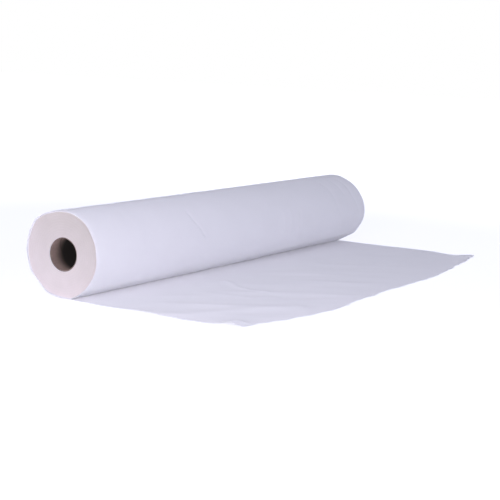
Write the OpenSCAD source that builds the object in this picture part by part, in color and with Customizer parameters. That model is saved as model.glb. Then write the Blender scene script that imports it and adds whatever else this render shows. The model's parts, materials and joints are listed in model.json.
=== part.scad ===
// Roll of exam table paper: a crepe web wound on a cardboard core, lying on its
// side, with a short torn end of the web drawn out from under the roll.
// The axis of the roll runs along X and the paper lies on the plane z = 0. The
// origin is on that plane, under the axis, at the middle of the roll's length.
// The loose end runs out towards -Y.

/* [Wound paper] */
// Width of the web, which is the length of the roll
paper_w = 533; // [300:1:700]
// Diameter of the wound roll
roll_d = 80; // [64:1:140]
// Depth of the flat spot that the roll's weight presses in its underside
flat_depth = 0.3; // [0.1:0.05:0.8]
// Thickness of the outer turns, which were wound back by hand
outer_t = 1.2; // [0.6:0.1:3]
// How far the inner turns have slid along the axis inside the outer ones
turn_slip = 1.5; // [0.5:0.1:5]

/* [Cardboard core] */
// Diameter of the hole through the core
bore_d = 29; // [20:0.5:38]
// Wall of the core
core_wall = 1; // [0.8:0.1:2.5]
// How far each end of the core lies inside the inner turns
core_setback = 0.5; // [0.2:0.1:3]
// Clearance between the core and the first turn of paper
core_gap = 0.1; // [0.05:0.05:0.3]

/* [Turn lines on the ends] */
// Distance from one turn line to the next
line_pitch = 2.4; // [1.6:0.1:5]
// Width of a turn line
line_w = 0.45; // [0.3:0.05:0.8]
// Depth of a turn line
line_depth = 0.4; // [0.2:0.05:0.8]

/* [Loose end] */
// Length of the web drawn out, from under the axis to the torn edge
loose_len = 208; // [120:1:400]
// Thickness of the loose web, with its crepe
loose_t = 0.5; // [0.4:0.05:1]
// Length next to the roll that lies flat on the table
smooth_len = 45; // [30:1:70]
// Height of the soft ridges that run along the loose web
ridge_h = 1.7; // [0.5:0.1:4]
// Distance from one ridge to the next
ridge_pitch = 62; // [45:1:120]
// Angle of the ridges from the length of the web
ridge_turn = 38; // [0:1:50]
// Height of the uneven teeth along the torn edge
tear_h = 1.6; // [0.5:0.1:4]
// How much shorter the web is torn at its left corner
left_short = 16; // [5:1:30]
// How much shorter the web is torn at its right corner
right_short = 25; // [10:1:50]
// How far the right edge is drawn in near the torn corner
right_drawn_in = 4; // [0:1:25]
// Height of the curled left corner
left_curl = 1.6; // [0.5:0.1:6]
// Height of the curled right corner
right_curl = 1.6; // [0.5:0.1:6]

/* [Hidden] */
roll_r = roll_d / 2;
axis_z = roll_r - flat_depth;
half_w = paper_w / 2;
bore_r = bore_d / 2;
core_r = bore_r + core_wall;
core_len = paper_w - 2 * core_setback;
hole_r = core_r + core_gap;
inner_r = roll_r - outer_t;
// Half the width of the flat spot, where the round underside meets the table
flat_half = sqrt(roll_r * roll_r - axis_z * axis_z);
// Room left beside a cut so that it runs clean through
cut_over = 1;
round_fn = 180;
// The turn lines are one spiral, which keeps this far from the core and the outer turns
line_margin = 1.5;
line_r0 = hole_r + line_margin;
line_r1 = inner_r - line_margin / 2;
line_steps = 30;
line_points = floor((line_r1 - line_r0) / line_pitch * line_steps);
// Cells of the loose end across the web and along it
cells_x = 64;
cells_y = 16;
// Share of the loose length over which the ridges rise from the flat part
ridge_rise = 0.3;
// Reach of a curled corner across the web and along it
curl_x = 26;
curl_y = 20;

// Rises smoothly from 0 at a to 1 at b
function ease(x, a, b) = let (t = min(1, max(0, (x - a) / (b - a)))) t * t * (3 - 2 * t);

// A wave with the given length, running across the web and turned by an angle
function wave(x, y, length, turn, start) = sin(360 * (x * cos(turn) + y * sin(turn)) / length + start);

// A round hump at (cx, cy), 1 high
function hump(x, y, cx, cy) = exp(-pow((x - cx) / curl_x, 2) - pow((y - cy) / curl_y, 2));

// Length of the loose web at x, where s is x as a share of half the width
function torn_len(x, s) =
    loose_len
    - left_short * pow(max(0, -s), 4)
    - right_short * pow(max(0, s), 4)
    + tear_h * (0.5 * sin(360 * x / 71 + 40) + 0.35 * sin(360 * x / 31) + 0.15 * sin(360 * x / 17));

// Height of the web's underside above the table
function lift(x, y) =
    let (rise = ease(-y, smooth_len, smooth_len + ridge_rise * loose_len),
         ridges = 0.5
            + 0.3 * wave(x, y, ridge_pitch, ridge_turn, 20)
            + 0.2 * wave(x, y, ridge_pitch * 0.63, ridge_turn * 0.7, 110))
    rise * (ridge_h * ridges * ridges
        + left_curl * hump(x, y, -half_w, -(loose_len - left_short))
        + right_curl * hump(x, y, half_w, -(loose_len - right_short)));

// One point of the underside, by its share of the half width and of the loose length
function loose_point(s, v) =
    let (x0 = s * half_w,
         y = -smooth_len - v * (torn_len(x0, s) - smooth_len),
         drawn = right_drawn_in * ease(s, 0.75, 1) * ease(v, 0.45, 0.9),
         x = x0 - drawn)
    [x, y, lift(x, y)];

module paper() {
    color([0.94, 0.94, 0.97]) union() {
        wound_turns();
        smooth_web();
        loose_web();
    }
}

// The wound turns: outer turns, inner turns that have slid, turn lines and the flat spot
module wound_turns() {
    difference() {
        union() {
            along_x(-half_w, half_w, roll_r);
            along_x(-half_w + turn_slip, half_w + turn_slip, inner_r);
        }
        along_x(-half_w - cut_over, -half_w + turn_slip, inner_r);
        along_x(-half_w - cut_over, half_w + turn_slip + cut_over, hole_r);
        translate([-half_w + turn_slip, 0, axis_z]) rotate([90, 0, 90])
            translate([0, 0, -cut_over]) linear_extrude(cut_over + line_depth) turn_line();
        translate([half_w + turn_slip, 0, axis_z]) rotate([90, 0, 90])
            translate([0, 0, -line_depth]) linear_extrude(line_depth + cut_over) turn_line();
        translate([-paper_w, -roll_d, -roll_d]) cube([2 * paper_w, 2 * roll_d, roll_d]);
    }
}

// A solid cylinder on the roll's axis, between two places along X
module along_x(x0, x1, r) {
    translate([x0, 0, axis_z]) rotate([0, 90, 0]) cylinder(r = r, h = x1 - x0, $fn = round_fn);
}

// The spiral line between the turns, drawn from the outermost turn inwards
module turn_line() {
    angles = [for (i = [0:line_points]) i * 360 / line_steps];
    outside = [for (a = angles) spiral_point(a, line_w / 2)];
    inside = [for (a = angles) spiral_point(a, -line_w / 2)];
    polygon(concat(outside, [for (i = [line_points:-1:0]) inside[i]]));
}

// A point of the spiral, which winds inwards from the underside by way of the back
function spiral_point(a, aside) =
    let (r = line_r1 - line_pitch * a / 360 + aside)
    [r * cos(a - 90), r * sin(a - 90)];

// The flat stretch of web next to the roll
module smooth_web() {
    translate([-half_w, -smooth_len, 0]) cube([paper_w, smooth_len + flat_half / 2, loose_t]);
}

// The rippled stretch of web, out to the torn edge
module loose_web() {
    row = cells_y + 1;
    count = (cells_x + 1) * row;
    under = [for (i = [0:cells_x], j = [0:cells_y]) loose_point(2 * i / cells_x - 1, j / cells_y)];
    over = [for (p = under) p + [0, 0, loose_t]];
    rim = concat(
        [for (i = [0:cells_x - 1]) i * row],
        [for (j = [0:cells_y - 1]) cells_x * row + j],
        [for (i = [cells_x:-1:1]) i * row + cells_y],
        [for (j = [cells_y:-1:1]) j]);
    polyhedron(
        points = concat(over, under),
        faces = concat(
            [for (i = [0:cells_x - 1], j = [0:cells_y - 1], half = [0, 1])
                let (a = i * row + j, b = a + row)
                half == 0 ? [a, b, b + 1] : [a, b + 1, a + 1]],
            [for (i = [0:cells_x - 1], j = [0:cells_y - 1], half = [0, 1])
                let (a = count + i * row + j, b = a + row)
                half == 0 ? [a, b + 1, b] : [a, a + 1, b + 1]],
            [for (k = [0:len(rim) - 1], half = [0, 1])
                let (a = rim[k], b = rim[(k + 1) % len(rim)])
                half == 0 ? [a, a + count, b + count] : [a, b + count, b]]),
        convexity = 6);
}

// The cardboard tube, which has slid along with the inner turns
module core() {
    color([0.62, 0.5, 0.39]) difference() {
        along_x(turn_slip - core_len / 2, turn_slip + core_len / 2, core_r);
        along_x(turn_slip - core_len / 2 - cut_over, turn_slip + core_len / 2 + cut_over, bore_r);
    }
}

paper();
core();
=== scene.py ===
"""Dresses a packed roll of exam table paper: the wound turns, the web drawn out from under
them and the cardboard core.

Lengths are in metres, in the part's own frame: +X along the roll's axis, +Z up, and the web
runs out towards -Y on the plane z = 0. Angles round the roll are in radians, counted from
its front (-Y) upwards, so the top is at a quarter turn and the underside at minus a quarter.
"""

from __future__ import annotations

import json
import logging
import math
from dataclasses import dataclass
from enum import Enum
from typing import ClassVar

import bpy
import numpy as np
from mathutils import Matrix, Vector

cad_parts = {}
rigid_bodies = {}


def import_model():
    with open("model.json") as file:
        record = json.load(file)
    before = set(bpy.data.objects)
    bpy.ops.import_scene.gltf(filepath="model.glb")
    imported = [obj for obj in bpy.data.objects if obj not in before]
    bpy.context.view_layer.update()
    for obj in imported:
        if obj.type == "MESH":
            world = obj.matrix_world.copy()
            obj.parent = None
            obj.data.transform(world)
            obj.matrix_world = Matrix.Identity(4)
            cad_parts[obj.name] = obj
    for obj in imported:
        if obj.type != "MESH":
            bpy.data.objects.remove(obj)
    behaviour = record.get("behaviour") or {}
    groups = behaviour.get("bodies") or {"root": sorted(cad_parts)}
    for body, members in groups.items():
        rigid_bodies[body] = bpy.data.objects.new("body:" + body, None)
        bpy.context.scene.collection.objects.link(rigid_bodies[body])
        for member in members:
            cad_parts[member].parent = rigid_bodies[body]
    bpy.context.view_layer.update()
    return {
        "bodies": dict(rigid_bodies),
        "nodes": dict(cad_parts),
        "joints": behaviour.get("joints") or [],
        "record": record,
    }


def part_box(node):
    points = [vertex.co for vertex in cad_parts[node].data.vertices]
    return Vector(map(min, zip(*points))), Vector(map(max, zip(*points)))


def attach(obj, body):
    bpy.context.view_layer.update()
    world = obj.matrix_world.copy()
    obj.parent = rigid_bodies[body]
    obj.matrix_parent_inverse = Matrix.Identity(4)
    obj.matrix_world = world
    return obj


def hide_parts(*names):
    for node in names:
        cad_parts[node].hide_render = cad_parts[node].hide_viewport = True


LOG = logging.getLogger("paper_roll")
MM = 0.001
TURN = 2 * math.pi

# Places closer than this are one place
TOUCH = 0.01 * MM

# Length of web drawn out, from under the axis to the torn edge
DRAWN_OUT = 208 * MM

Colour = tuple[float, float, float]
Pairs = tuple[tuple[float, float], ...]
Triples = tuple[tuple[float, float, float], ...]


class End(Enum):
    """The two ends of the roll, as the sign of their place along X."""

    NEAR = -1
    FAR = 1


class Ray(Enum):
    """The kinds of ray that see the white backdrop, as Light Path's own outputs."""

    CAMERA = "Is Camera Ray"
    GLOSSY = "Is Glossy Ray"
    TRANSMISSION = "Is Transmission Ray"


# Shader building


class Wire:
    """A shader socket that Python's operators join to Math nodes."""

    def __init__(self, bench: NodeBench, socket: bpy.types.NodeSocket) -> None:
        """Wraps an output socket of the bench's tree."""
        self.bench = bench
        self.socket = socket

    def math(self, operation: str, *others: Wire | float, swap: bool = False) -> Wire:
        """Adds a Math node.

        Args:
            operation: the Math node's operation.
            others: its further inputs.
            swap: whether this wire goes second.

        Returns:
            The node's result.
        """
        values = [self, *others]
        if swap:
            values.reverse()
        return self.bench.add("ShaderNodeMath", {"operation": operation}, dict(enumerate(values)))

    def __add__(self, other: Wire | float) -> Wire:
        """Adds a wire or a number."""
        return self.math("ADD", other)

    __radd__ = __add__

    def __sub__(self, other: Wire | float) -> Wire:
        """Takes a wire or a number away."""
        return self.math("SUBTRACT", other)

    def __rsub__(self, other: float) -> Wire:
        """Takes this wire from a number."""
        return self.math("SUBTRACT", other, swap=True)

    def __mul__(self, other: Wire | float) -> Wire:
        """Multiplies by a wire or a number."""
        return self.math("MULTIPLY", other)

    __rmul__ = __mul__

    def __truediv__(self, other: Wire | float) -> Wire:
        """Divides by a wire or a number."""
        return self.math("DIVIDE", other)

    def __pow__(self, other: float) -> Wire:
        """Raises to a power."""
        return self.math("POWER", other)

    def wave(self) -> Wire:
        """A sine with one period for each whole number."""
        return (self * TURN).math("SINE")

    def ease(self, low: float, high: float) -> Wire:
        """A smooth step from 0 at low to 1 at high.

        Args:
            low: where the step starts.
            high: where the step ends.

        Returns:
            The step.
        """
        return self.bench.add(
            "ShaderNodeMapRange",
            {"interpolation_type": "SMOOTHSTEP"},
            {"Value": self, "From Min": low, "From Max": high},
        )


class NodeBench:
    """Adds nodes to one node tree."""

    MIX_LOW, MIX_HIGH, MIX_OUT = 6, 7, 2

    def __init__(self, tree: bpy.types.NodeTree) -> None:
        """Clears the tree of a material or a world to work on it."""
        self.tree = tree
        tree.nodes.clear()

    def add(
        self,
        kind: str,
        settings: dict[str, object] | None = None,
        sockets: dict[str | int, object] | None = None,
        out: str | int = 0,
    ) -> Wire:
        """Adds one node.

        Args:
            kind: the node's type.
            settings: its properties, which are set first.
            sockets: the value or the wire of each input.
            out: the output to return.

        Returns:
            The chosen output, or the first input of a node that ends the tree.
        """
        node = self.tree.nodes.new(kind)
        for name, value in (settings or {}).items():
            setattr(node, name, value)
        for name, value in (sockets or {}).items():
            if isinstance(value, Wire):
                self.tree.links.new(value.socket, node.inputs[name])
            else:
                node.inputs[name].default_value = value
        return Wire(self, node.outputs[out]) if len(node.outputs) else Wire(self, node.inputs[0])

    def split(self, vector: Wire) -> list[Wire]:
        """Splits a vector into its X, Y and Z."""
        first = self.add("ShaderNodeSeparateXYZ", sockets={"Vector": vector})
        return [Wire(self, output) for output in first.socket.node.outputs]

    def place(self) -> Wire:
        """The place on the object, in metres."""
        return self.add("ShaderNodeTexCoord", out="Object")

    def round_axis(self, axis_z: float) -> tuple[Wire, Wire, Wire, Wire]:
        """The place on the object, seen from the roll's axis.

        Args:
            axis_z: the height of the axis.

        Returns:
            The places along, across and above the axis, and the share of a turn round it.
        """
        along, across, up = self.split(self.place())
        up = up - axis_z
        return along, across, up, up.math("ARCTAN2", across) / TURN

    def noise(self, size: float, detail: float = 2.0, stretch_x: float = 1.0) -> Wire:
        """Noise over the object.

        Args:
            size: the size of its features.
            detail: how many finer layers it has.
            stretch_x: how the place along X is scaled first, so that less draws the features out.

        Returns:
            The noise, from 0 to 1.
        """
        scaled = self.add("ShaderNodeMapping", sockets={"Vector": self.place(), "Scale": (stretch_x, 1, 1)})
        sockets = {"Vector": scaled, "Scale": 1 / size, "Detail": detail}
        return self.add("ShaderNodeTexNoise", sockets=sockets)

    def mix(self, share: Wire, low: Wire | Colour, high: Wire | Colour) -> Wire:
        """Mixes two colours.

        Args:
            share: the share of the second one.
            low: the first colour.
            high: the second colour.

        Returns:
            The mixed colour.
        """
        sockets = {0: share}
        for socket, end in ((self.MIX_LOW, low), (self.MIX_HIGH, high)):
            sockets[socket] = end if isinstance(end, Wire) else (*end, 1)
        return self.add("ShaderNodeMix", {"data_type": "RGBA"}, sockets, self.MIX_OUT)

    def bump(self, height: Wire, depth: float) -> Wire:
        """Turns a height, in shares of the relief's depth, into a normal."""
        return self.add("ShaderNodeBump", sockets={"Distance": depth, "Height": height})

    def surface(self, colour: Wire, rough: Wire | float, normal: Wire, gloss: float) -> None:
        """Ends the tree in a Principled shader.

        Args:
            colour: the base colour.
            rough: the roughness.
            normal: the normal.
            gloss: the specular level.
        """
        sockets = {
            "Base Color": colour,
            "Roughness": rough,
            "Diffuse Roughness": 1.0,
            "Specular IOR Level": gloss,
            "Normal": normal,
        }
        shader = self.add("ShaderNodeBsdfPrincipled", sockets=sockets)
        self.add("ShaderNodeOutputMaterial", sockets={"Surface": shader})


def new_bench(name: str) -> tuple[bpy.types.Material, NodeBench]:
    """Makes an empty material.

    Args:
        name: the material's name.

    Returns:
        The material and a bench on its tree.
    """
    material = bpy.data.materials.new(name)
    material.use_nodes = True
    return material, NodeBench(material.node_tree)


@dataclass(frozen=True)
class CrepePaper:
    """Creped tissue, whose fine furrows run across the web, along the roll's axis."""

    name: str
    tone: Colour
    shade: Colour
    furrow: float = 0.9 * MM
    thread: float = 0.36 * MM
    furrow_stretch: float = 0.16
    furrow_depth: float = 0.07 * MM
    cloud: float = 26 * MM
    cloud_stretch: float = 0.7
    gloss: float = 0.25

    def material(self) -> bpy.types.Material:
        """Builds the material.

        Returns:
            The material.
        """
        material, bench = new_bench(self.name)
        furrows = bench.noise(self.furrow, 3, self.furrow_stretch)
        threads = bench.noise(self.thread, 1, self.furrow_stretch)
        cloud = bench.noise(self.cloud, 3, self.cloud_stretch)
        colour = bench.mix((cloud * 0.75 + furrows * 0.25).ease(0.3, 0.7), self.shade, self.tone)
        normal = bench.bump(furrows * 0.75 + threads * 0.25, self.furrow_depth)
        bench.surface(colour, 0.86 + furrows * 0.1, normal, self.gloss)
        return material


@dataclass(frozen=True)
class TurnEdges:
    """The cut edges of the turns, one spiral of fine lines round the axis, with painted shade that makes
    them darker towards the top and the front.
    """

    name: str
    tone: Colour
    shade: Colour
    axis_z: float
    roll_r: float
    turn_pitch: float = 0.4 * MM
    line_pitch: float = 2.4 * MM
    waver: float = 9 * MM
    grain: float = 1.1 * MM
    cloud: float = 14 * MM
    depth: float = 0.06 * MM
    rough: float = 0.92
    gloss: float = 0.2

    def material(self) -> bpy.types.Material:
        """Builds the material.

        Returns:
            The material.
        """
        material, bench = new_bench(self.name)
        _, across, up, turned = bench.round_axis(self.axis_z)
        radius = (across * across + up * up) ** 0.5
        waver = bench.noise(self.waver)
        fine = (radius / self.turn_pitch + turned + waver * 1.6).wave()
        broad = (radius / self.line_pitch + turned + waver * 0.4).wave()
        grain = bench.noise(self.grain, 3)
        cloud = bench.noise(self.cloud)
        # Painted shade: the edges darken towards the top and the front (-Y) and lighten towards the bottom
        # and the back, as light from low at the left falls on them
        painted_shade_slope = (up * 0.8 - across * 0.35) / self.roll_r
        share = 0.5 - painted_shade_slope * 0.55 + fine * 0.04 + broad * 0.03 + (grain - 0.5) * 0.3 + (cloud - 0.5) * 0.4
        colour = bench.mix(share, self.shade, self.tone)
        normal = bench.bump(fine * 0.35 + grain * 0.9, self.depth)
        bench.surface(colour, self.rough, normal, self.gloss)
        return material


@dataclass(frozen=True)
class Cardboard:
    """Brown board wound in a helix, with a butt seam and pressed fibres, and painted shade that darkens it
    deep inside, away from its mouths.
    """

    name: str
    tone: Colour
    shade: Colour
    seam: Colour
    axis_z: float
    seam_pitch: float
    mouth_x: float
    # Colour of the painted shade deep in the bore
    inside: Colour = (0.02, 0.017, 0.015)
    lit_reach: tuple[float, float] = (5 * MM, 21 * MM)
    seam_half: float = 0.012
    fibre: float = 2.2 * MM
    fibre_stretch: float = 0.35
    cloud: float = 18 * MM
    depth: float = 0.12 * MM
    gloss: float = 0.3

    def material(self) -> bpy.types.Material:
        """Builds the material.

        Returns:
            The material.
        """
        material, bench = new_bench(self.name)
        along, _, _, turned = bench.round_axis(self.axis_z)
        phase = (along / self.seam_pitch + turned).math("FRACT")
        seam = (phase - 0.5).math("ABSOLUTE").ease(0.5 - 2 * self.seam_half, 0.5)
        fibres = bench.noise(self.fibre, 4, self.fibre_stretch)
        cloud = bench.noise(self.cloud)
        board = bench.mix((fibres * 0.6 + cloud * 0.4).ease(0.25, 0.75), self.shade, self.tone)
        # Painted shade: past the lit reach from each mouth, the bore darkens to a near black colour
        painted_shade_share = (self.mouth_x - along.math("ABSOLUTE")).ease(*self.lit_reach)
        colour = bench.mix(painted_shade_share, bench.mix(seam, board, self.seam), self.inside)
        normal = bench.bump(fibres * 0.4 - seam * 0.6, self.depth)
        bench.surface(colour, 0.82 + fibres * 0.1, normal, self.gloss)
        return material


# Shapes


class Lattice:
    """Smooth seeded noise over a plane, from -1 to 1, which repeats after some cells."""

    CELLS = 64

    def __init__(self, seed: int) -> None:
        """Draws the values from a seed."""
        self.values = np.random.default_rng(seed).uniform(-1, 1, (self.CELLS, self.CELLS))

    def at(self, u: np.ndarray, v: np.ndarray, repeat: int | None = None) -> np.ndarray:
        """Reads the noise.

        Args:
            u: places along the first side, in cells.
            v: places along the second side, in cells.
            repeat: after how many cells the first side repeats, if sooner.

        Returns:
            The noise at each place.
        """
        wrap = repeat or self.CELLS
        iu, iv = np.floor(u).astype(int), np.floor(v).astype(int)
        fu, fv = u - iu, v - iv
        su, sv = fu * fu * (3 - 2 * fu), fv * fv * (3 - 2 * fv)

        def corner(a: int, b: int) -> np.ndarray:
            """The value at one corner of each cell."""
            return self.values[(iu + a) % wrap, (iv + b) % self.CELLS]

        low = corner(0, 0) * (1 - su) + corner(1, 0) * su
        high = corner(0, 1) * (1 - su) + corner(1, 1) * su
        return low * (1 - sv) + high * sv


def ease(x: np.ndarray, low: float, high: float) -> np.ndarray:
    """Rises smoothly from 0 at low to 1 at high."""
    t = np.clip((x - low) / (high - low), 0, 1)
    return t * t * (3 - 2 * t)


def hump(x: np.ndarray, centre: float, reach: float) -> np.ndarray:
    """A round hump, 1 high at its centre, which has mostly gone at its reach to each side."""
    return np.exp(-(((x - centre) / reach) ** 2))


def angle_from(angle: np.ndarray, degrees: float) -> np.ndarray:
    """How far angles lie from a direction in degrees, the shorter way round."""
    return (angle - math.radians(degrees) + math.pi) % TURN - math.pi


@dataclass(frozen=True)
class Ripple:
    """Seeded unevenness that closes on itself round the axis."""

    seed: int
    cells: int
    length: float
    height: float
    start: float = 0.0
    turned: float = 0.5

    def over(self, angle: np.ndarray, along: np.ndarray | float, end: End | None = None) -> np.ndarray:
        """Its height over a surface.

        Args:
            angle: angles round the axis.
            along: places the other way over the surface.
            end: the end of the roll, where each end has its own draw.

        Returns:
            The height at each place.
        """
        lattice = Lattice(self.seed + (end.value if end else 0))
        cell = (angle / TURN + self.turned) * self.cells
        return self.height * lattice.at(cell, along / self.length + self.start, repeat=self.cells)


def deselect() -> None:
    """Leaves nothing selected."""
    bpy.ops.object.select_all(action="DESELECT")


def points_of(piece: bpy.types.Object) -> np.ndarray:
    """Reads where a piece's vertices are.

    Args:
        piece: the piece.

    Returns:
        Their places, one row each.
    """
    flat = np.empty(len(piece.data.vertices) * 3)
    piece.data.vertices.foreach_get("co", flat)
    return flat.reshape(-1, 3)


def set_points(piece: bpy.types.Object, points: np.ndarray) -> None:
    """Moves a piece's vertices to new places, one row each."""
    piece.data.vertices.foreach_set("co", points.ravel())
    piece.data.update()


def spin_section(
    name: str, outline: list[tuple[float, float]], axis_z: float, steps: int
) -> bpy.types.Object:
    """Spins a closed section round the roll's axis.

    Args:
        name: the piece's name.
        outline: the section's corners as places along X and distances from the axis.
        axis_z: the height of the axis.
        steps: how many steps a full turn has.

    Returns:
        The piece.
    """
    deselect()
    bpy.ops.mesh.primitive_circle_add(vertices=len(outline), radius=1, location=(0, 0, 0))
    piece = bpy.context.object
    piece.name = piece.data.name = name
    set_points(piece, np.array([(x, -r, axis_z) for x, r in outline]))
    bpy.ops.object.mode_set(mode="EDIT")
    bpy.ops.mesh.select_all(action="SELECT")
    bpy.ops.mesh.spin(steps=steps, angle=TURN, center=(0, 0, axis_z), axis=(1, 0, 0))
    bpy.ops.mesh.select_all(action="SELECT")
    bpy.ops.mesh.remove_doubles(threshold=TOUCH)
    bpy.ops.mesh.normals_make_consistent(inside=False)
    bpy.ops.object.mode_set(mode="OBJECT")
    return piece


def spaced(start: float, stop: float, count: int) -> list[float]:
    """Evenly spaced values from start up to, but without, stop."""
    return [start + (stop - start) * i / count for i in range(count)]


def polar(points: np.ndarray, axis_z: float) -> tuple[np.ndarray, np.ndarray, np.ndarray]:
    """Turns points into places along the axis, distances from it and angles round it."""
    up = points[:, 2] - axis_z
    return points[:, 0], np.hypot(points[:, 1], up), np.arctan2(up, -points[:, 1])


def from_polar(x: np.ndarray, radius: np.ndarray, angle: np.ndarray, axis_z: float) -> np.ndarray:
    """The way back from polar, to places with one row each."""
    return np.column_stack([x, -radius * np.cos(angle), axis_z + radius * np.sin(angle)])


def finish_piece(piece: bpy.types.Object, slot: str, *nodes: str) -> bpy.types.Object:
    """Smooths a piece and hands it to the frame.

    Args:
        piece: the piece.
        slot: the record's material slot, which is not used.
        nodes: the solids that it stands for.

    Returns:
        The piece.
    """
    deselect()
    piece.select_set(True)
    bpy.context.view_layer.objects.active = piece
    bpy.ops.object.shade_smooth_by_angle(angle=math.radians(50))
    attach(piece, "root")
    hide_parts(*nodes)
    LOG.info("built %s with %d faces", piece.name, len(piece.data.polygons))
    return piece


@dataclass(frozen=True)
class RollSizes:
    """The sizes that the solids give, read from the frame."""

    half_w: float
    slip: float
    axis_z: float
    roll_r: float
    core_r: float
    bore_r: float
    core_half: float
    loose_len: float

    @classmethod
    def from_frame(cls, frame: dict) -> RollSizes:
        """Reads the sizes.


        Returns:
            The sizes.
        """
        paper_low, paper_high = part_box("paper")
        core_low, core_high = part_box("core")
        mounts = {m["name"]: m for m in frame["record"]["mounts"]}
        axis_z = (core_low.z + core_high.z) / 2
        return cls(
            half_w=-paper_low.x,
            slip=(core_low.x + core_high.x) / 2,
            axis_z=axis_z,
            roll_r=paper_high.z - axis_z,
            core_r=(core_high.z - core_low.z) / 2,
            bore_r=mounts["core_bore"]["dims"]["r_mm"] * MM,
            core_half=(core_high.x - core_low.x) / 2,
            loose_len=DRAWN_OUT,
        )


@dataclass(frozen=True)
class Crease:
    """A soft crease along a path of places in millimetres."""

    path: Pairs
    height: float
    reach: float

    def over(self, u: np.ndarray, v: np.ndarray, v_scale: float = MM) -> np.ndarray:
        """The crease's height over a surface.

        Args:
            u: places along the path's first side.
            v: places along its second side.
            v_scale: what one unit of the path's second side measures.

        Returns:
            The height at each place.
        """
        nearest = np.full(u.shape, np.inf)
        corners = [(a * MM, b * v_scale) for a, b in self.path]
        for (au, av), (bu, bv) in zip(corners, corners[1:]):
            du, dv = bu - au, bv - av
            share = np.clip(((u - au) * du + (v - av) * dv) / (du * du + dv * dv), 0, 1)
            nearest = np.minimum(nearest, np.hypot(u - au - share * du, v - av - share * dv))
        return self.height * hump(nearest, 0, self.reach)


@dataclass(frozen=True)
class Facet:
    """A stretch of the side, at an angle in degrees, that is pressed flat, most at one end."""

    angle: float
    depth: float
    end: End
    least: float = 0.25

    def press(self, x: np.ndarray, radius: np.ndarray, angle: np.ndarray, sizes: RollSizes) -> np.ndarray:
        """Presses the facet into the side.

        Args:
            x: places along the roll.
            radius: distances from the axis.
            angle: angles round the roll.
            sizes: the roll's sizes.

        Returns:
            The new distances.
        """
        toward = (x * self.end.value / sizes.half_w + 1) / 2
        depth = self.depth * (self.least + (1 - self.least) * ease(toward, 0.3, 1))
        off = angle_from(angle, self.angle)
        plane = (sizes.roll_r - depth) / np.cos(np.clip(off, -1, 1))
        over = np.maximum(radius - plane, 0) * (np.abs(off) < 1)
        return radius - over


@dataclass(frozen=True)
class Swell:
    """A stretch of the side that stands out more and more towards one end, or the same all along.

    Its angle and its reach round the roll are in degrees, and it starts at a share of half the
    roll's length, from minus 1 at the other end to 1.
    """

    angle: float
    reach: float
    height: float
    end: End | None = None
    start: float = -0.75

    def relief(self, x: np.ndarray, angle: np.ndarray, sizes: RollSizes) -> np.ndarray:
        """How far the side stands out.

        Args:
            x: places along the roll.
            angle: angles round it.
            sizes: the roll's sizes.

        Returns:
            The relief at each place.
        """
        off = angle_from(angle, self.angle)
        toward = x * self.end.value / sizes.half_w if self.end else np.ones(x.shape)
        share = np.clip((toward - self.start) / (1 - self.start), 0, 1)
        return self.height * share * hump(off, 0, math.radians(self.reach))


@dataclass(frozen=True)
class Lobes:
    """Some lobes round the roll that turn along it."""

    count: int
    start: float
    twist: float
    height: float

    def relief(self, x: np.ndarray, angle: np.ndarray) -> np.ndarray:
        """How far they stand out at places along the roll and angles round it."""
        return self.height * np.sin(self.count * angle + self.start + self.twist * x)


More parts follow.
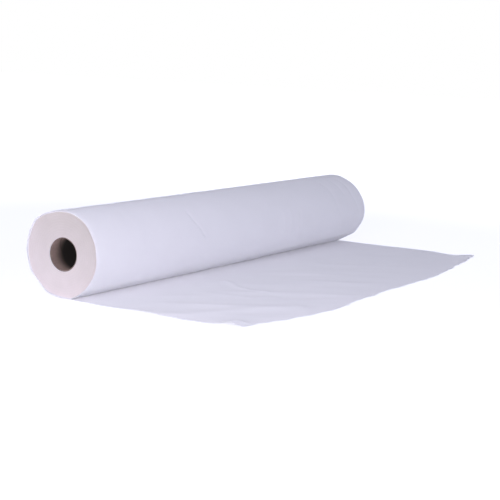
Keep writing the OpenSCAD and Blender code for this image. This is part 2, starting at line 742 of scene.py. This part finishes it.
@dataclass
class WoundTurns:
    """The wound web: its side, the proud outer turns and both ends.

    row_stretches holds where each stretch of rows along the side ends, in millimetres, and how
    many rows it has. The paths of the creases are in millimetres along the roll and degrees.
    border_dents holds where the border between the outer and the inner turns lies further in, at
    the near end: the place in degrees, the reach in radians and the depth.
    """

    sizes: RollSizes
    outer_t: float = 1.2 * MM
    rim_len: float = 4.5 * MM
    rim_drop: float = 0.8 * MM
    rim_rows: int = 8
    lip_steps: int = 4
    end_rows: int = 60
    hole_rows: int = 4
    steps_round: int = 192
    row_stretches: tuple[tuple[float, int], ...] = (
        (-212, 20), (-155, 38), (-114, 16), (-84, 50), (66, 56), (114, 60), (186, 28), (252, 66),
    )
    rest_gap: float = 0.3 * MM
    line_pitch: float = 2.4 * MM
    core_gap: float = 0.1 * MM
    ends_rougher: float = 1.2
    ends_from: float = 0.72
    bands: Ripple = Ripple(3, 9, 17 * MM, 0.09 * MM, 20)
    soft_dents: Ripple = Ripple(4, 22, 38 * MM, 0.1 * MM, 20)
    end_waver: Ripple = Ripple(11, 14, 9 * MM, 0.12 * MM)
    lip_rags: Ripple = Ripple(21, 30, 0.48 * MM, 0.15 * MM, 9)
    lip_waves: Ripple = Ripple(21, 7, 1, 0.3 * MM, 2.2, 3 / 7)
    border_waver: Ripple = Ripple(61, 16, 1, 0.1 * MM, 4.4)
    border_dents: Triples = ((31, 0.2, 0.9 * MM), (7, 0.13, 0.72 * MM))
    border_reach: float = 1.4 * MM
    body_depth: float = 4 * MM
    lobes: tuple[Lobes, ...] = (Lobes(2, 1.1, 4, 0.25 * MM), Lobes(3, 2, -7, 0.15 * MM))
    line_depth: float = 0.07 * MM
    line_share: float = 0.16
    gap_depth: float = 2 * MM
    gap_inset: float = 1.6 * MM
    gap_reach: float = 0.7 * MM
    gap_angle: float = math.radians(16)
    gap_turn: float = math.radians(48)
    facets: tuple[Facet, ...] = (
        Facet(-133, 2.1 * MM, End.NEAR),
        Facet(-62, 2 * MM, End.FAR),
    )
    swells: tuple[Swell, ...] = (
        Swell(100, 30, 1.7 * MM, End.FAR),
        Swell(-4, 24, 1.6 * MM, End.FAR, 0.1),
        Swell(143, 26, 2.6 * MM, End.NEAR, 0.2),
        Swell(134, 16, 1.5 * MM, End.NEAR, 0.3),
        Swell(176, 20, 1.2 * MM, End.NEAR, 0.2),
        Swell(-71, 12, 1.9 * MM),
    )
    creases: tuple[Crease, ...] = (
        Crease(((-204, 80), (-196, 40), (-197, 14), (-190, -14), (-161, -58)), 0.4 * MM, 6 * MM),
        Crease(((-107, 44), (-105, 33), (-91, 7)), -1 * MM, 1.9 * MM),
        Crease(((102, -24), (105, 11), (109, 20)), -0.7 * MM, 1.6 * MM),
        Crease(((70, -10), (72, 20)), -0.3 * MM, 1.8 * MM),
        Crease(((84, -16), (87, 22)), -0.3 * MM, 1.8 * MM),
        Crease(((238, 88), (243, 55), (242, 30), (250, 2)), -0.5 * MM, 2.6 * MM),
        Crease(((190, 84), (197, 45), (197, 17), (211, -19)), -0.4 * MM, 3.5 * MM),
        Crease(((222, 70), (224, 36)), -0.4 * MM, 2 * MM),
    )

    @property
    def inner_r(self) -> float:
        """Distance from the axis to the outside of the inner turns."""
        return self.sizes.roll_r - self.outer_t

    @property
    def hole_r(self) -> float:
        """Radius of the hole that holds the core."""
        return self.sizes.core_r + self.core_gap

    def side_places(self) -> list[float]:
        """Spaces the side's rows along X, closest at the rims and the creases.

        Returns:
            The place of each row.
        """
        near, far = -self.sizes.half_w, self.sizes.half_w
        places = spaced(near, near + self.rim_len, self.rim_rows)
        start = near + self.rim_len
        for stop, count in self.row_stretches:
            places += spaced(start, stop * MM, count)
            start = stop * MM
        places += spaced(start, far - self.rim_len, 5)
        return places + spaced(far - self.rim_len, far, self.rim_rows)

    def side_radius(self, x: float) -> float:
        """Distance from the axis to the side at x, less where it rounds over at the rims."""
        into_rim = max(0.0, 1 - (self.sizes.half_w - abs(x)) / self.rim_len)
        return self.sizes.roll_r - self.rim_drop * into_rim**2

    def outline(self) -> list[tuple[float, float]]:
        """The section through one side of the turns, as a closed outline.

        Returns:
            Its corners as places along X and distances from the axis.
        """
        s = self.sizes
        near, far = -s.half_w, s.half_w
        inner_near, inner_far = near + s.slip, far + s.slip
        lip_r = s.roll_r - self.rim_drop
        side = [(x, self.side_radius(x)) for x in self.side_places()]
        far_lip = [(far, r) for r in spaced(lip_r, self.inner_r, self.lip_steps)]
        far_step = [(x, self.inner_r) for x in spaced(far, inner_far, 3)]
        far_end = [(inner_far, r) for r in spaced(self.inner_r, self.hole_r, self.end_rows)]
        hole = [(x, self.hole_r) for x in spaced(inner_far, inner_near, self.hole_rows)]
        near_end = [(inner_near, r) for r in spaced(self.hole_r, self.inner_r, self.end_rows)]
        near_step = [(x, self.inner_r) for x in spaced(inner_near, near, 3)]
        near_lip = [(near, r) for r in spaced(self.inner_r, lip_r, self.lip_steps)]
        return side + far_lip + far_step + far_end + hole + near_end + near_step + near_lip

    def body_relief(self, x: np.ndarray, angle: np.ndarray) -> np.ndarray:
        """How far the whole roll is out of round, at places along it and angles round it."""
        lobes = sum(lobe.relief(x, angle) for lobe in self.lobes)
        return lobes + sum(swell.relief(x, angle, self.sizes) for swell in self.swells)

    def side_relief(self, x: np.ndarray, angle: np.ndarray) -> np.ndarray:
        """How far the outermost turn stands out from the body.

        Args:
            x: places along the roll.
            angle: angles round it.

        Returns:
            The relief at each place.
        """
        arc = angle * self.sizes.roll_r
        half = self.sizes.half_w
        near_ends = 1 + self.ends_rougher * ease(np.abs(x), self.ends_from * half, half)
        relief = near_ends * (self.bands.over(angle, x) + self.soft_dents.over(angle, x))
        per_degree = math.radians(self.sizes.roll_r)
        for crease in self.creases:
            relief += crease.over(x, arc, per_degree)
        return relief

    def end_relief(self, radius: np.ndarray, angle: np.ndarray, end: End) -> np.ndarray:
        """How far the turns' edges stand out along X at one end, with a gap inside the outer turns.

        Args:
            radius: distances from the axis.
            angle: angles round it.
            end: which end.

        Returns:
            The relief at each place, away from the roll's middle.
        """
        back = (math.pi - angle + TURN / 4) / TURN
        phase = (self.inner_r - radius) / self.line_pitch - back
        apart = np.abs((phase + 0.5) % 1 - 0.5)
        line = hump(apart, 0, self.line_share)
        gap = hump(radius, self.inner_r - self.gap_inset, self.gap_reach)
        gap *= hump(angle, self.gap_angle, self.gap_turn)
        return self.end_waver.over(angle, radius, end) - self.line_depth * line - self.gap_depth * gap

    def lip_relief(self, radius: np.ndarray, angle: np.ndarray, end: End) -> np.ndarray:
        """How far the edges of the outer turns stand out along X at one end."""
        rags = self.lip_rags.over(angle, self.sizes.roll_r - radius, end)
        return rags + self.lip_waves.over(angle, 0.0, end)

    def lip_waver(self, angle: np.ndarray, end: End) -> np.ndarray:
        """How far the border between the outer and the inner turns lies inside its circle.

        Args:
            angle: angles round the roll.
            end: which end.

        Returns:
            The distance at each angle.
        """
        waver = self.border_waver.height + self.border_waver.over(angle, 0.0, end)
        if end is End.NEAR:
            for place, reach, depth in self.border_dents:
                waver += depth * hump(angle, math.radians(place), reach)
        return waver

    def build(self, finishes: Finishes) -> bpy.types.Object:
        """Builds and dresses the wound turns.

        Args:
            finishes: the finishes of the whole part.

        Returns:
            The piece.
        """
        s = self.sizes
        piece = spin_section("wound_turns", self.outline(), s.axis_z, self.steps_round)
        self.dress(piece, finishes)
        x, radius, angle = polar(points_of(piece), s.axis_z)
        in_outer = ease(radius, self.inner_r - self.body_depth, s.roll_r)
        in_body = np.clip((radius - self.hole_r) / (self.inner_r - self.hole_r), 0, 1) ** 2
        new_radius = radius + in_body * self.body_relief(x, angle) + in_outer * self.side_relief(x, angle)
        for facet in self.facets:
            new_radius = facet.press(x, new_radius, angle, s)
        new_x = x.copy()
        for end in End:
            inner_x = end.value * s.half_w + s.slip
            face = (np.abs(x - inner_x) < TOUCH) & (radius < self.inner_r + TOUCH)
            new_x += face * end.value * self.end_relief(radius, angle, end)
            out = end.value * x - s.half_w
            rim = (radius > self.inner_r - TOUCH) * ease(out, -2 * self.rim_len, 0) * ~face
            new_x += rim * end.value * self.lip_relief(radius, angle, end)
            border = hump(radius, self.inner_r, self.border_reach) * (out > -self.rim_len)
            new_radius -= border * (radius < self.inner_r + 0.1 * MM) * self.lip_waver(angle, end)
        points = from_polar(new_x, new_radius, angle, s.axis_z)
        points[:, 2] = np.maximum(points[:, 2], self.rest_gap)
        set_points(piece, points)
        return finish_piece(piece, "crepe_paper", "paper")

    def dress(self, piece: bpy.types.Object, finishes: Finishes) -> None:
        """Gives the side and the ends their finishes.

        Args:
            piece: the wound turns, still round.
            finishes: the finishes of the whole part.
        """
        piece.data.materials.append(finishes.wound.material())
        piece.data.materials.append(finishes.edges.material())
        count = len(piece.data.polygons)
        centres = np.empty(count * 3)
        piece.data.polygons.foreach_get("center", centres)
        x, radius, _ = polar(centres.reshape(-1, 3), self.sizes.axis_z)
        middle = np.abs(x - self.sizes.slip) < self.sizes.half_w - 1 * MM
        edge = (radius < self.inner_r - 0.2 * MM) & ~middle
        piece.data.polygons.foreach_set("material_index", edge.astype(np.int32))


@dataclass
class LooseWeb:
    """The stretch of web drawn out from under the roll, out to its torn edge.

    All places and lengths in trim, left_bulge, right_nip and the folds' paths are in millimetres.
    trim holds, across the web, how far the torn edge lies beyond its smooth line. left_bulge and
    right_nip hold, along the web, how far its left and right edges lie further to the left.
    """

    sizes: RollSizes
    tuck: float = 3 * MM
    smooth_len: float = 45 * MM
    ply: float = 0.2 * MM
    ridge_h: float = 1.7 * MM
    ridge_pitch: float = 62 * MM
    ridge_turn: float = math.radians(38)
    ridge_rise: float = 0.3
    tear_h: float = 1.6 * MM
    fringe_h: float = 0.5 * MM
    crinkle_h: float = 0.24 * MM
    fine_crinkle_h: float = 0.1 * MM
    left_short: float = 16 * MM
    right_short: float = 24 * MM
    drawn_in: float = 4 * MM
    left_curl: float = 0.8 * MM
    right_curl: float = 1.6 * MM
    curl_x: float = 26 * MM
    curl_y: float = 20 * MM
    cells_x: int = 360
    cells_y: int = 130
    trim: Pairs = (
        (-266, 1), (-245, -1), (-235, -0.3), (-225, 1), (-215, 2.5), (-200, 0.8), (-188, 4.2),
        (-175, 6), (-150, 6.7), (-127, 5.5), (-108, 4), (-90, 1.2), (-43, 0.8), (-20, -1),
        (2, -1.5), (21, 0.8), (111, 0.5), (143, -3.5), (190, -5.5), (233, -4), (266, 3),
    )
    left_bulge: Pairs = (
        (-192, 2.5), (-176, 1.5), (-166, 3), (-159, 6.5), (-147, 6.5), (-136, 8), (-128, 6), (-109, 6.5),
        (-100, 3), (-96, 5), (-88, 3), (-80, 3.5), (-45, 3), (-30, 1.5), (-15, 0),
    )
    right_nip: Pairs = (
        (-180, 0), (-174, 5), (-166, 9), (-150, 5), (-135, 0), (-110, 1), (-60, 1.5), (-20, 0.5),
    )
    left_fold: ClassVar[Pairs] = (
        (-276, -80), (-268, -108), (-254, -130), (-230, -141), (-206, -149), (-180, -166), (-158, -182),
    )
    folds: tuple[Crease, ...] = (
        Crease(((-276, -176), (-258, -180)), 2.9 * MM, 7.5 * MM),
        Crease(((-86, -64), (-108, -89), (-113, -105), (-112, -123)), 0.7 * MM, 4.5 * MM),
        Crease(left_fold, 1.1 * MM, 11 * MM),
        Crease(((-155, -84), (-152, -106), (-147, -127), (-132, -140)), 0.5 * MM, 8 * MM),
        Crease(((-210, -112), (-195, -135), (-176, -151)), 0.3 * MM, 3.5 * MM),
        Crease(((81, -59), (-18, -121), (-80, -160)), 1 * MM, 26 * MM),
    )

    def torn_len(self, x: np.ndarray, s: np.ndarray) -> np.ndarray:
        """Length of the loose web.

        Args:
            x: places across the web.
            s: the same as shares of half its width.

        Returns:
            Its length at each place.
        """
        mm = x / MM
        teeth = (
            0.5 * np.sin(TURN * mm / 71 + math.radians(40))
            + 0.35 * np.sin(TURN * mm / 31)
            + 0.15 * np.sin(TURN * mm / 17)
        )
        row = np.zeros(x.shape)
        fringe = Lattice(31).at(mm / 3.1 + 90, row) + 0.6 * Lattice(32).at(mm / 9 + 30, row)
        short = self.left_short * np.maximum(0, -s) ** 4 + self.right_short * np.maximum(0, s) ** 4
        trim = MM * np.interp(mm, *zip(*self.trim))
        return self.sizes.loose_len - short + trim + self.tear_h * teeth + self.fringe_h * fringe

    def wave(self, x: np.ndarray, y: np.ndarray, length: float, turn: float, start: float) -> np.ndarray:
        """A wave from -1 to 1, whose crests slant across the web, with its start in degrees."""
        way = x * math.cos(turn) + y * math.sin(turn)
        return np.sin(TURN * way / length + math.radians(start))

    def lift(self, x: np.ndarray, y: np.ndarray) -> np.ndarray:
        """Height of the web's underside above the table.

        Args:
            x: places across the web.
            y: places along it.

        Returns:
            The height at each place.
        """
        s = self.sizes
        rise = ease(-y, self.smooth_len, self.smooth_len + self.ridge_rise * s.loose_len)
        ridges = (
            0.5
            + 0.3 * self.wave(x, y, self.ridge_pitch, self.ridge_turn, 20)
            + 0.2 * self.wave(x, y, self.ridge_pitch * 0.63, self.ridge_turn * 0.7, 110)
        )
        left = hump(x, -s.half_w, self.curl_x) * hump(y, self.left_short - s.loose_len, self.curl_y)
        right = hump(x, s.half_w, self.curl_x) * hump(y, self.right_short - s.loose_len, self.curl_y)
        # The ridges are lower by the torn edge, by the left edge and where the web is smoother
        pressed = 1 - 0.75 * hump(x, -150 * MM, 60 * MM) * ease(-y, 130 * MM, 200 * MM)
        pressed *= 1 - hump(x, -s.half_w, 30 * MM) * hump(y, -125 * MM, 40 * MM)
        pressed *= 0.45 - 0.3 * self.smoother(x, y)
        curls = self.left_curl * left + self.right_curl * right
        height = rise * (self.ridge_h * ridges**2 * pressed + curls)
        for fold in self.folds:
            height += fold.over(x, y)
        return height

    def smoother(self, x: np.ndarray, y: np.ndarray) -> np.ndarray:
        """Share by which the web is smoother, beyond a line that slants towards its right edge."""
        return ease(x - 0.8 * (y + 120 * MM), 0, 120 * MM)

    def crinkle(self, x: np.ndarray, y: np.ndarray) -> np.ndarray:
        """Fine crinkles that run with the ridges.

        Args:
            x: places across the web.
            y: places along it.

        Returns:
            Their height at each place.
        """
        turn = self.ridge_turn + 0.12
        way = x * math.cos(turn) + y * math.sin(turn)
        run = y * math.cos(turn) - x * math.sin(turn)
        start = ease(-y, 0.4 * self.smooth_len, 1.8 * self.smooth_len) * (1 - 0.6 * self.smoother(x, y))
        broad = Lattice(41).at(way / (13 * MM) + 30, run / (70 * MM) + 30)
        fine = Lattice(42).at(way / (6 * MM) + 30, run / (34 * MM) + 30)
        return start * (self.crinkle_h * broad + self.fine_crinkle_h * fine)

    def build(self, finishes: Finishes) -> bpy.types.Object:
        """Builds and dresses the loose web.

        Args:
            finishes: the finishes of the whole part.

        Returns:
            The piece.
        """
        size = self.sizes
        deselect()
        bpy.ops.mesh.primitive_grid_add(
            x_subdivisions=self.cells_x, y_subdivisions=self.cells_y, size=1, location=(0, 0, 0)
        )
        piece = bpy.context.object
        piece.name = piece.data.name = "loose_web"
        points = points_of(piece)
        s, v = 2 * points[:, 0], 0.5 - points[:, 1]
        x0 = s * size.half_w
        y = self.tuck - v * (self.torn_len(x0, s) + self.tuck)
        outer = np.clip((-y - self.smooth_len) / (self.torn_len(x0, s) - self.smooth_len), 0, 1)
        x = x0 - self.drawn_in * ease(s, 0.75, 1) * ease(outer, 0.45, 0.9)
        x -= MM * np.interp(y / MM, *zip(*self.left_bulge)) * ease(-s, 0.85, 1)
        x -= MM * np.interp(y / MM, *zip(*self.right_nip)) * ease(s, 0.8, 1)
        z = np.maximum(self.lift(x, y) + self.crinkle(x, y), 0)
        set_points(piece, np.column_stack([x, y, z]))
        thicken = piece.modifiers.new("ply", "SOLIDIFY")
        thicken.thickness = self.ply
        thicken.offset = 1
        bpy.ops.object.modifier_apply(modifier=thicken.name)
        piece.data.materials.append(finishes.single_ply.material())
        finish_piece(piece, "crepe_paper", "paper")
        return (piece, size.loose_len + self.tuck)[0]


@dataclass
class CoreTube:
    """The cardboard tube, with the helical butt seam of its inner ply."""

    sizes: RollSizes
    seam_pitch: float = 62 * MM
    seam_depth: float = 0.15 * MM
    seam_share: float = 0.03
    nibbles: Ripple = Ripple(51, 24, 0.5 * MM, 0.1 * MM)
    lip: float = 0.25 * MM
    bore_rows: int = 180
    steps_round: int = 128

    def outline(self) -> list[tuple[float, float]]:
        """The section through the tube's wall, with soft corners.

        Returns:
            Its corners as places along X and distances from the axis.
        """
        s = self.sizes
        near, far = s.slip - s.core_half, s.slip + s.core_half
        outside = [(near + self.lip, s.core_r), (far - self.lip, s.core_r)]
        far_wall = [(far, r) for r in spaced(s.core_r - self.lip, s.bore_r + self.lip, 4)]
        far_corner = [(far, s.bore_r + self.lip)]
        bore = [(x, s.bore_r) for x in spaced(far - self.lip, near + self.lip, self.bore_rows)]
        near_corner = [(near + self.lip, s.bore_r)]
        near_wall = [(near, r) for r in spaced(s.bore_r + self.lip, s.core_r - self.lip, 4)]
        last = [(near, s.core_r - self.lip)]
        return outside + far_wall + far_corner + bore + near_corner + near_wall + last

    def build(self, finishes: Finishes) -> bpy.types.Object:
        """Builds and dresses the tube.

        Args:
            finishes: the finishes of the whole part.

        Returns:
            The piece.
        """
        s = self.sizes
        piece = spin_section("core_tube", self.outline(), s.axis_z, self.steps_round)
        x, radius, angle = polar(points_of(piece), s.axis_z)
        phase = x / self.seam_pitch + (math.pi - angle) / TURN
        apart = np.abs((phase + 0.5) % 1 - 0.5)
        seam = hump(apart, 0, self.seam_share) * (radius < s.bore_r + TOUCH)
        nibbled = self.nibbles.height + self.nibbles.over(angle, radius)
        at_end = np.abs(np.abs(x - s.slip) - s.core_half) < TOUCH
        new_x = x - at_end * np.sign(x) * nibbled
        set_points(piece, from_polar(new_x, radius + self.seam_depth * seam, angle, s.axis_z))
        piece.data.materials.append(finishes.board.material())
        return finish_piece(piece, "cardboard", "core")


# The whole part and its studio


@dataclass(frozen=True)
class Finishes:
    """The finishes of the whole part."""

    wound: CrepePaper
    single_ply: CrepePaper
    edges: TurnEdges
    board: Cardboard

    @classmethod
    def for_roll(cls, sizes: RollSizes, seam_pitch: float) -> Finishes:
        """Picks the finishes.

        Args:
            sizes: the roll's sizes.
            seam_pitch: the pitch of the core's seam.

        Returns:
            The finishes.
        """
        return cls(
            wound=CrepePaper("crepe_wound", (0.93, 0.914, 0.935), (0.915, 0.899, 0.92)),
            single_ply=CrepePaper("crepe_single_ply", (0.98, 0.965, 0.985), (0.965, 0.95, 0.97)),
            # The edges' darker colour is partly random tone and partly their painted shade towards the top
            # and the front
            edges=TurnEdges(
                "turn_edges", (0.94, 0.87, 0.86), (0.735, 0.682, 0.645), sizes.axis_z, sizes.roll_r
            ),
            board=Cardboard(
                "wound_board",
                (0.34, 0.25, 0.215),
                (0.27, 0.195, 0.165),
                (0.2, 0.14, 0.12),
                sizes.axis_z,
                seam_pitch,
                sizes.core_half,
            ),
        )


@dataclass(frozen=True)
class Lamp:
    """A soft square light."""

    name: str
    place: tuple[float, float, float]
    size: float
    power: float
    tint: Colour


@dataclass
class Studio:
    """A pale floor, a soft sky, lamps at the front left and the camera."""

    floor_half: float = 6.0
    floor_tone: float = 0.9
    floor_white: float = 0.68
    floor_far: float = 0.4
    far_reach: tuple[float, float] = (0.45, 1.1)
    tint: Colour = (0.965, 0.968, 1.11)
    sky: Colour = (0.293, 0.305, 0.373)
    sky_front: float = 0.1
    sky_back: float = 2.0
    front_fall: int = 4
    back_fall: int = 8
    lamps: tuple[Lamp, ...] = (
        Lamp("front", (-0.1, -2.2, 0.4), 1.2, 6.2, (0.88, 0.962, 1.12)),
        Lamp("front_left", (-0.6, -1, 0.16), 0.4, 0.75, (0.95, 0.965, 1.11)),
        Lamp("low_left", (-1.1, -0.4, 0.15), 0.4, 4.7, (1.01, 0.97, 1.08)),
    )
    lamp_aim: tuple[float, float, float] = (-0.15, -0.05, 0.03)
    camera_place: tuple[float, float, float] = (-1.2221, -0.7552, 0.2285)
    camera_yaw: float = math.radians(59.61)
    camera_pitch: float = math.radians(8.38)
    camera_roll: float = math.radians(-2.28)
    camera_lens: float = 98.2
    camera_sensor: float = 36.0

    def add_floor(self) -> None:
        """Lays a pale floor that looks white to the camera and keeps the part's shadow."""
        deselect()
        bpy.ops.mesh.primitive_plane_add(size=2 * self.floor_half, location=(0, 0, 0))
        floor = bpy.context.object
        floor.name = "floor"
        material, bench = new_bench("pale_floor")
        seen = bench.add("ShaderNodeLightPath", out=Ray.CAMERA.value)
        tone = (self.floor_tone, self.floor_tone, self.floor_tone, 1)
        matt = bench.add("ShaderNodeBsdfDiffuse", sockets={"Color": tone})
        spot = {"Vector": bench.place()}
        away = bench.add("ShaderNodeVectorMath", {"operation": "LENGTH"}, spot, out="Value")
        glow = (self.floor_white + self.floor_far * away.ease(*self.far_reach)) * seen
        light = bench.add("ShaderNodeEmission", sockets={"Color": (*self.tint, 1), "Strength": glow})
        both = bench.add("ShaderNodeAddShader", sockets={0: matt, 1: light})
        bench.add("ShaderNodeOutputMaterial", sockets={"Surface": both})
        floor.data.materials.append(material)

    def add_sky(self) -> None:
        """Lights the part from all round, with low light from front and back and a white backdrop."""
        world = bpy.data.worlds.new("studio")
        bpy.context.scene.world = world
        world.use_nodes = True
        bench = NodeBench(world.node_tree)
        _, y, z = bench.split(bench.add("ShaderNodeTexCoord", out="Generated"))
        front = (-1 * y).math("MAXIMUM", 0.0) ** 2 * (1 - z) ** self.front_fall
        back = y.math("MAXIMUM", 0.0) ** 2 * (1 - z) ** self.back_fall
        sides = front * self.sky_front + back * self.sky_back
        even = bench.add("ShaderNodeBackground", sockets={"Color": (*self.sky, 1)})
        uneven = bench.add("ShaderNodeBackground", sockets={"Color": (*self.tint, 1), "Strength": sides})
        light = bench.add("ShaderNodeAddShader", sockets={0: even, 1: uneven})
        white = bench.add("ShaderNodeBackground", sockets={"Color": (1, 1, 1, 1)})
        seen = sum((bench.add("ShaderNodeLightPath", out=ray.value) for ray in Ray), start=0)
        mixed = bench.add("ShaderNodeMixShader", sockets={0: seen, 1: light, 2: white})
        bench.add("ShaderNodeOutputWorld", sockets={"Surface": mixed})

    def add_lamp(self, lamp: Lamp) -> None:
        """Hangs a lamp and aims it at the part.

        Args:
            lamp: the lamp.
        """
        data = bpy.data.lights.new(lamp.name, "AREA")
        data.size, data.energy, data.color = lamp.size, lamp.power, lamp.tint
        hung = bpy.data.objects.new(lamp.name, data)
        hung.location = lamp.place
        way = Vector(self.lamp_aim) - Vector(lamp.place)
        hung.rotation_euler = way.to_track_quat("-Z", "Y").to_euler()
        hung.visible_camera = False
        bpy.context.scene.collection.objects.link(hung)

    def add_camera(self) -> None:
        """Places the camera."""
        data = bpy.data.cameras.new("camera")
        data.lens = self.camera_lens
        data.sensor_width = self.camera_sensor
        data.clip_start, data.clip_end = 0.01, 50
        yaw, pitch, roll = self.camera_yaw, self.camera_pitch, self.camera_roll
        ahead = Vector((math.sin(yaw) * math.cos(pitch), math.cos(yaw) * math.cos(pitch), -math.sin(pitch)))
        right = Vector((math.cos(yaw), -math.sin(yaw), 0))
        down = ahead.cross(right)
        turned_right = right * math.cos(roll) + down * math.sin(roll)
        turned_down = down * math.cos(roll) - right * math.sin(roll)
        basis = Matrix((turned_right, -turned_down, -ahead)).transposed().to_4x4()
        camera = bpy.data.objects.new("camera", data)
        camera.matrix_world = Matrix.Translation(self.camera_place) @ basis
        bpy.context.scene.collection.objects.link(camera)
        bpy.context.scene.camera = camera

    def build(self) -> None:
        """Sets up the whole studio."""
        self.add_floor()
        self.add_sky()
        for lamp in self.lamps:
            self.add_lamp(lamp)
        self.add_camera()
        bpy.context.scene.view_settings.view_transform = "Standard"


@dataclass
class PaperRoll:
    """The whole roll."""

    frame: dict

    def build(self) -> None:
        """Builds each piece in order."""
        sizes = RollSizes.from_frame(self.frame)
        core = CoreTube(sizes)
        finishes = Finishes.for_roll(sizes, core.seam_pitch)
        for maker in (WoundTurns(sizes), LooseWeb(sizes), core):
            maker.build(finishes)


def main() -> None:
    """Builds the part and its studio."""
    logging.basicConfig(level=logging.INFO, format="%(name)s: %(message)s")
    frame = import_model()
    PaperRoll(frame).build()
    Studio().build()


if __name__ == "__main__":
    main()
